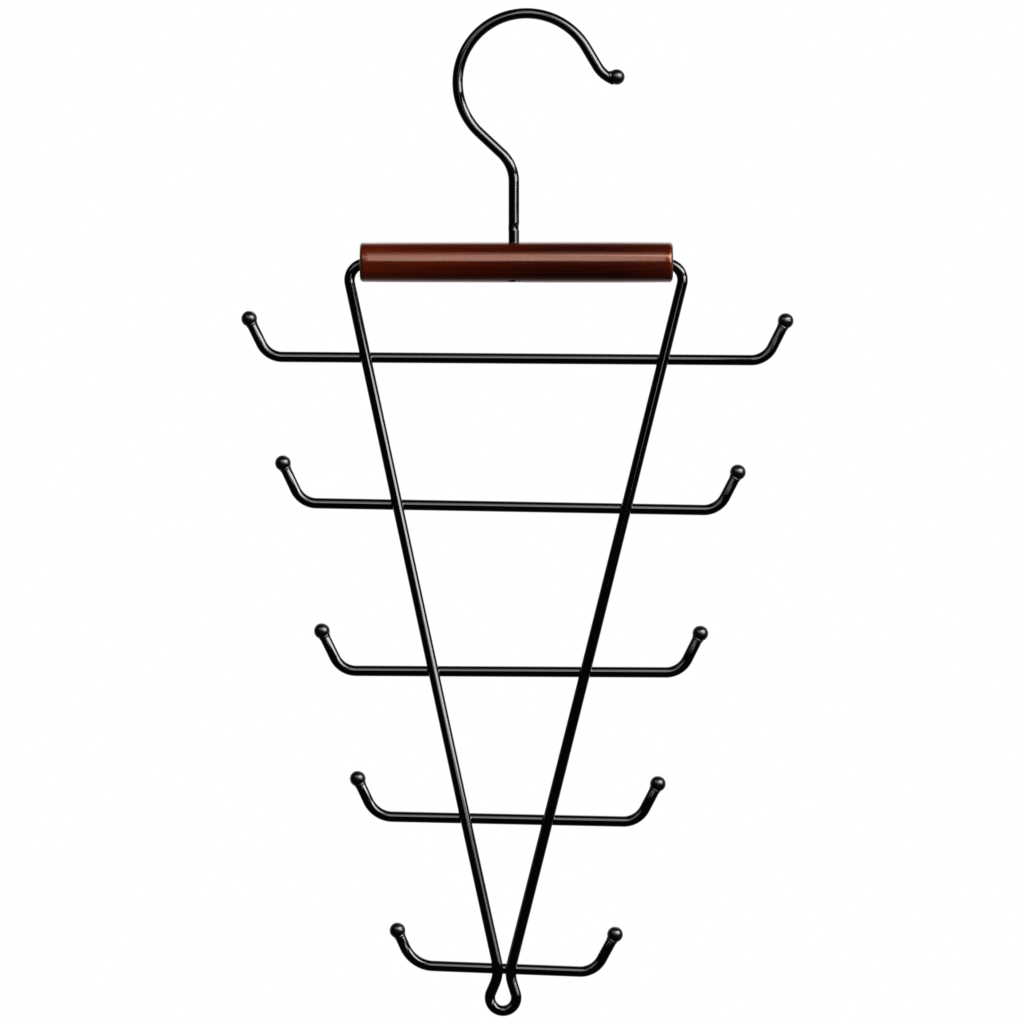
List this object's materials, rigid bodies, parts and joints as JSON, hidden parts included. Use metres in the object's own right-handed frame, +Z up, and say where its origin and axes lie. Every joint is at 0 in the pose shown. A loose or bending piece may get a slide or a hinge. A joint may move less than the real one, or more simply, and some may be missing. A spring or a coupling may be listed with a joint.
{
  "type": "rotating clothes hanger",
  "caption": "Tiered hanger for scarves and belts: a swivel hook in a wooden dowel handle over a V-shaped wire frame, its crossbars turned up at the ends and tipped with balls.",
  "frame": {"origin": "where the rod bears on the inside of the hook's crook, at its highest point", "axes": "+Z up along the hook's stem; +X to the right, the side on which the hook is open; +Y to the back, where the crossbars are; the hook lies in the XZ plane at rest"},
  "size_m": [0.221, 0.016, 0.4029],
  "materials": {
    "gloss_black_wire": "gloss black coating over steel wire",
    "black_ball_caps": "moulded, glossy",
    "zinc_plated_washer": "bright zinc plate",
    "stained_wood": "dark red-brown stain under glossy lacquer"
  },
  "bodies": {
    "hook": {"hook_wire": "gloss_black_wire", "hook_tip_ball": "black_ball_caps"},
    "swivel_washer": {"swivel_washer": "zinc_plated_washer"},
    "handle": {"handle": "stained_wood"},
    "frame": {"frame_wire": "gloss_black_wire", "crossbar_1": "gloss_black_wire", "crossbar_2": "gloss_black_wire", "crossbar_3": "gloss_black_wire", "crossbar_4": "gloss_black_wire", "crossbar_5": "gloss_black_wire", "bar_tip_1_left": "black_ball_caps", "bar_tip_1_right": "black_ball_caps", "bar_tip_2_left": "black_ball_caps", "bar_tip_2_right": "black_ball_caps", "bar_tip_3_left": "black_ball_caps", "bar_tip_3_right": "black_ball_caps", "bar_tip_4_left": "black_ball_caps", "bar_tip_4_right": "black_ball_caps", "bar_tip_5_left": "black_ball_caps", "bar_tip_5_right": "black_ball_caps"}
  },
  "joints": [
    {"name": "hook_swivel", "type": "hinge", "parent": "hook", "child": "swivel_washer", "pos_m": [-0.0051, 0, -0.0976], "axis": [0, 0, 1], "continuous": true},
    {"name": "stem_play", "type": "slide", "parent": "swivel_washer", "child": "handle", "axis": [0, 0, 1], "range_m": [0, 0.0032]},
    {"name": "frame_swing", "type": "hinge", "parent": "handle", "child": "frame", "pos_m": [-0.0041, 0, -0.098], "axis": [1, 0, 0], "range_deg": [-150, 150]}
  ]
}
